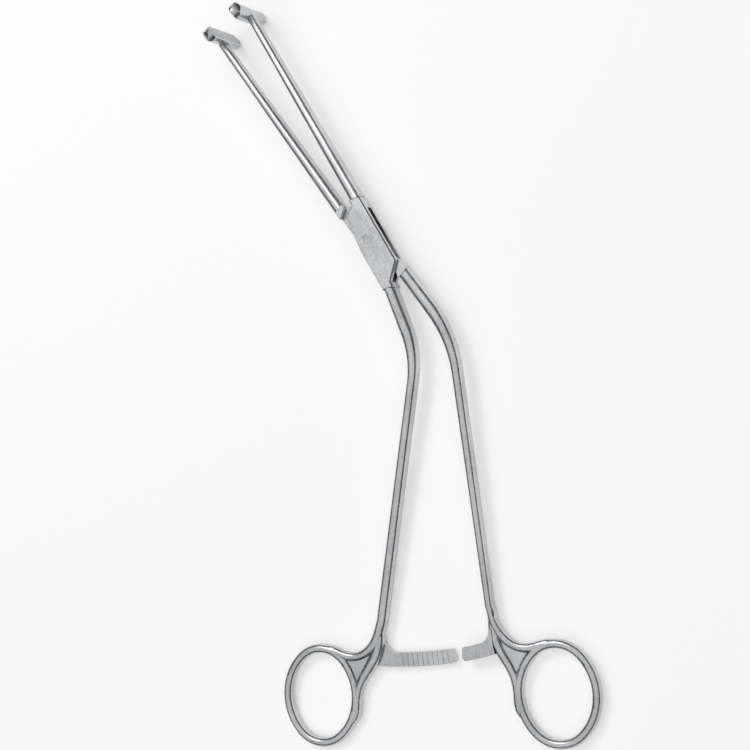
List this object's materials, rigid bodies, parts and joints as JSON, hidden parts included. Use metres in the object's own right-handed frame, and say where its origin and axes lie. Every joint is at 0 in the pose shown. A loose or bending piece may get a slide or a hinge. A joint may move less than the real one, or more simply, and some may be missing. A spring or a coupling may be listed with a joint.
{
  "type": "capsule forceps",
  "caption": "Angled box-lock capsule forceps with T-shaped grooved jaws, a ratchet and oval finger rings, drawn slightly open.",
  "frame": {"origin": "on the pivot axis, at the outer face of the rear ear of the box lock", "axes": "+Z along the pivot axis, out of the front of the box; +Y from the finger rings towards the jaws; +X towards the right-hand ring"},
  "size_m": [0.1305, 0.2322, 0.018],
  "materials": {
    "satin_steel": "satin"
  },
  "bodies": {
    "box_side": {"box_half": "satin_steel", "lock_pin": "satin_steel"},
    "through_side": {"through_half": "satin_steel"}
  },
  "joints": [
    {"name": "box_lock", "type": "hinge", "parent": "box_side", "child": "through_side", "pos_m": [0, 0, 0.0029], "axis": [0, 0, 1], "range_deg": [-6, 30]}
  ]
}
